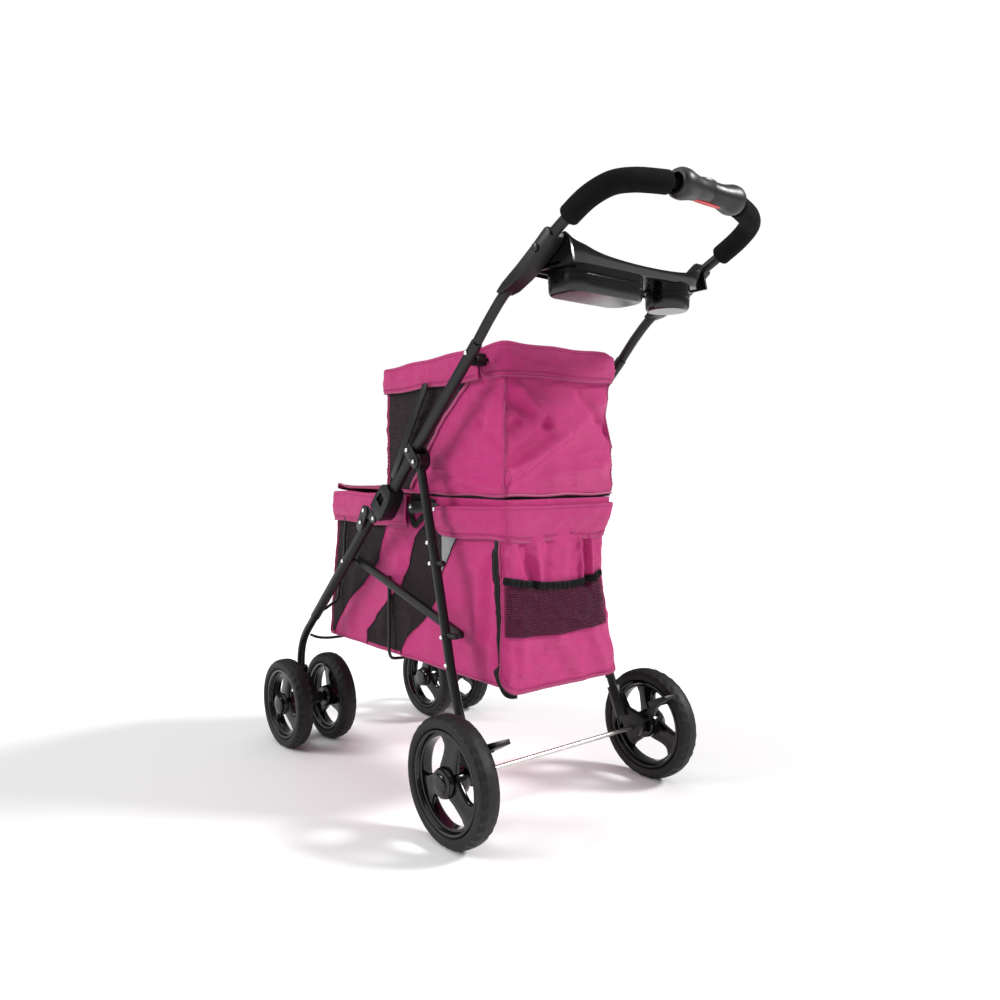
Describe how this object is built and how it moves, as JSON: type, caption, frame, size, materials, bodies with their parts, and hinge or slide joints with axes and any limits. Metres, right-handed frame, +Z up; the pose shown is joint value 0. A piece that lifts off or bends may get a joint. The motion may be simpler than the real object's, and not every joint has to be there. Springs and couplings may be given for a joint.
{
  "type": "pet stroller",
  "caption": "Folding two-deck pet stroller: raked tube frame, bar handle with tray, two fabric baskets, swivelling double front castors and braked rear wheels.",
  "frame": {"origin": "under the middle of the outline, on the ground plane the wheels stand on", "axes": "+X forward, the way the stroller is pushed; +Y to its left; +Z up"},
  "size_m": [0.9856, 0.504, 0.9805],
  "materials": {
    "powder_coat": "satin black powder coat on steel tube",
    "hinge_steel": "black plated hinge plates",
    "bolt_steel": "black screw heads",
    "axle_steel": "drawn steel rod",
    "rivet_steel": "bright domed rivets",
    "moulded_plastic": "black moulded plastic",
    "wheel_gloss": "glossy black moulded rims",
    "tyre_rubber": "matte black foam rubber tread",
    "grip_foam": "matte black foam",
    "hub_plastic": "dark grey satin plastic",
    "trigger_plastic": "red plastic",
    "basket_fabric": "magenta coated polyester",
    "mesh_fabric": "black knitted mesh",
    "reflective_cloth": "silver reflective cloth",
    "binding_tape": "black woven tape, zips and elastic",
    "pad_fabric": "dark quilted pad cloth"
  },
  "bodies": {
    "front_frame": {"front_leg_left": "powder_coat", "front_leg_right": "powder_coat", "lower_hinge_left": "hinge_steel", "lower_hinge_right": "hinge_steel", "rim_frame": "powder_coat", "toe_wire": "powder_coat", "lower_basket": "basket_fabric", "lower_pad": "pad_fabric"},
    "lower_lid": {"lower_lid": "basket_fabric"},
    "handle": {"handle_lower_left": "powder_coat", "handle_lower_right": "powder_coat", "handle_upper_left": "powder_coat", "handle_upper_right": "powder_coat", "grip_left": "grip_foam", "grip_right": "grip_foam", "handle_hub": "hub_plastic", "tray": "moulded_plastic", "tray_bracket_left": "moulded_plastic", "tray_bracket_right": "moulded_plastic", "tray_bolt_left": "bolt_steel", "tray_bolt_right": "bolt_steel", "upper_hinge_left": "hinge_steel", "upper_hinge_right": "hinge_steel", "leg_plate_left": "powder_coat", "leg_plate_right": "powder_coat", "mouth_hoop": "powder_coat", "hoop_strut_left": "powder_coat", "hoop_strut_right": "powder_coat", "upper_basket": "basket_fabric", "upper_pad": "pad_fabric"},
    "lock_left": {"lock_slider_left": "moulded_plastic"},
    "lock_right": {"lock_slider_right": "moulded_plastic"},
    "fold_button": {"fold_button": "hub_plastic"},
    "fold_trigger": {"fold_trigger": "trigger_plastic"},
    "rear_legs": {"rear_leg_left": "powder_coat", "rear_leg_right": "powder_coat", "axle_bracket_left": "moulded_plastic", "axle_bracket_right": "moulded_plastic", "rear_axle": "axle_steel"},
    "brake_left": {"brake_pedal_left": "moulded_plastic"},
    "brake_right": {"brake_pedal_right": "moulded_plastic"},
    "links": {"link_bar_left": "powder_coat", "link_bar_right": "powder_coat", "floor_wire": "powder_coat"},
    "castor_left": {"castor_fork_left": "moulded_plastic"},
    "castor_right": {"castor_fork_right": "moulded_plastic"},
    "rear_wheel_left": {"rear_wheel_left_tyre": "tyre_rubber", "rear_wheel_left_rim": "wheel_gloss"},
    "rear_wheel_right": {"rear_wheel_right_tyre": "tyre_rubber", "rear_wheel_right_rim": "wheel_gloss"},
    "front_wheel_left_outer": {"front_wheel_left_outer_tyre": "tyre_rubber", "front_wheel_left_outer_rim": "wheel_gloss"},
    "front_wheel_left_inner": {"front_wheel_left_inner_tyre": "tyre_rubber", "front_wheel_left_inner_rim": "wheel_gloss"},
    "front_wheel_right_outer": {"front_wheel_right_outer_tyre": "tyre_rubber", "front_wheel_right_outer_rim": "wheel_gloss"},
    "front_wheel_right_inner": {"front_wheel_right_inner_tyre": "tyre_rubber", "front_wheel_right_inner_rim": "wheel_gloss"}
  },
  "joints": [
    {"name": "fold", "type": "hinge", "parent": "front_frame", "child": "handle", "pos_m": [0.15, 0, 0.499], "axis": [0, 1, 0], "range_deg": [0, 150], "deforming": ["lower_basket", "upper_basket", "lower_pad", "upper_pad"]},
    {"name": "rear_leg_swing", "type": "hinge", "parent": "handle", "child": "rear_legs", "pos_m": [-0.01, 0, 0.588], "axis": [0, 1, 0], "range_deg": [-42.2, 0.2]},
    {"name": "link_swing", "type": "hinge", "parent": "front_frame", "child": "links", "pos_m": [0.24389, 0, 0.3962], "axis": [0, 1, 0], "range_deg": [-0.2, 79.7]},
    {"name": "lid_hinge", "type": "hinge", "parent": "front_frame", "child": "lower_lid", "pos_m": [0.183, 0, 0.541], "axis": [0, -1, 0], "range_deg": [0, 80]},
    {"name": "lock_left_slide", "type": "slide", "parent": "handle", "child": "lock_left", "axis": [-0.7157, 0, 0.6984], "range_m": [0, 0.022], "stiffness_N_per_m": 120, "springref_m": -0.02},
    {"name": "lock_right_slide", "type": "slide", "parent": "handle", "child": "lock_right", "axis": [-0.7157, 0, 0.6984], "range_m": [0, 0.022], "stiffness_N_per_m": 120, "springref_m": -0.02},
    {"name": "fold_button_press", "type": "slide", "parent": "handle", "child": "fold_button", "axis": [0, 0, -1], "range_m": [0, 0.0024], "stiffness_N_per_m": 500, "springref_m": -0.001},
    {"name": "fold_trigger_squeeze", "type": "slide", "parent": "handle", "child": "fold_trigger", "axis": [0, 0, 1], "range_m": [0, 0.0024], "stiffness_N_per_m": 600, "springref_m": -0.001},
    {"name": "brake_left_press", "type": "hinge", "parent": "rear_legs", "child": "brake_left", "pos_m": [-0.198, 0.199, 0.12], "axis": [0, 1, 0], "range_deg": [-20, 0]},
    {"name": "brake_right_press", "type": "hinge", "parent": "rear_legs", "child": "brake_right", "pos_m": [-0.198, -0.199, 0.12], "axis": [0, 1, 0], "range_deg": [-20, 0]},
    {"name": "rear_wheel_left_spin", "type": "hinge", "parent": "rear_legs", "child": "rear_wheel_left", "pos_m": [-0.181, 0.2275, 0.101], "axis": [0, 1, 0], "continuous": true},
    {"name": "rear_wheel_right_spin", "type": "hinge", "parent": "rear_legs", "child": "rear_wheel_right", "pos_m": [-0.181, -0.2275, 0.101], "axis": [0, 1, 0], "continuous": true},
    {"name": "castor_left_swivel", "type": "hinge", "parent": "front_frame", "child": "castor_left", "pos_m": [0.44, 0.1755, 0.14], "axis": [0, 0, 1], "continuous": true},
    {"name": "front_wheel_left_outer_spin", "type": "hinge", "parent": "castor_left", "child": "front_wheel_left_outer", "pos_m": [0.402, 0.2237, 0.0906], "axis": [0, 1, 0], "continuous": true},
    {"name": "front_wheel_left_inner_spin", "type": "hinge", "parent": "castor_left", "child": "front_wheel_left_inner", "pos_m": [0.402, 0.1273, 0.0906], "axis": [0, 1, 0], "continuous": true},
    {"name": "castor_right_swivel", "type": "hinge", "parent": "front_frame", "child": "castor_right", "pos_m": [0.44, -0.1755, 0.14], "axis": [0, 0, 1], "continuous": true},
    {"name": "front_wheel_right_outer_spin", "type": "hinge", "parent": "castor_right", "child": "front_wheel_right_outer", "pos_m": [0.402, -0.2237, 0.0906], "axis": [0, 1, 0], "continuous": true},
    {"name": "front_wheel_right_inner_spin", "type": "hinge", "parent": "castor_right", "child": "front_wheel_right_inner", "pos_m": [0.402, -0.1273, 0.0906], "axis": [0, 1, 0], "continuous": true}
  ],
  "couplings": [
    {"joint": "rear_leg_swing", "follows": "fold", "ratio": -0.28},
    {"joint": "link_swing", "follows": "fold", "ratio": 0.53}
  ]
}
